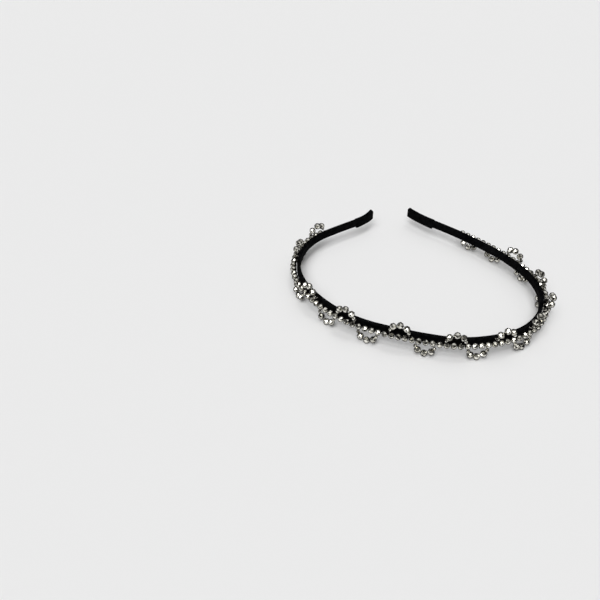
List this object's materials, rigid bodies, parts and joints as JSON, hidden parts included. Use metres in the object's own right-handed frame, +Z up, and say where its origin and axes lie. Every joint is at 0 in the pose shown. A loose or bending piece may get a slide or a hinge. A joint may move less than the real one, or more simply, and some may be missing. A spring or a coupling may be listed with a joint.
{
  "type": "crystal headband",
  "caption": "Thin cloth-covered spring headband with a row of cut crystal beads along its outer face and small bead loops standing up and hanging down by turns.",
  "frame": {"origin": "centre of the bounding box in X and Y, on the surface that the headband lies on", "axes": "+Z up out of the level curve of the band, -Y towards the top of the head, +Y towards the two open ends, +X towards the right arm as seen from the ends' far side"},
  "size_m": [0.16, 0.1438, 0.0239],
  "materials": {
    "ribbon": "matt black woven ribbon",
    "sleeve_cloth": "matt black folded cloth",
    "crystal": "cut glass with a silver coating",
    "thread": "thin grey nylon"
  },
  "bodies": {
    "root": {"band": "ribbon", "left_end_sleeve": "sleeve_cloth", "right_end_sleeve": "sleeve_cloth", "row_beads": "crystal", "row_thread": "thread", "loop_beads": "crystal", "loop_threads": "thread"}
  },
  "joints": []
}
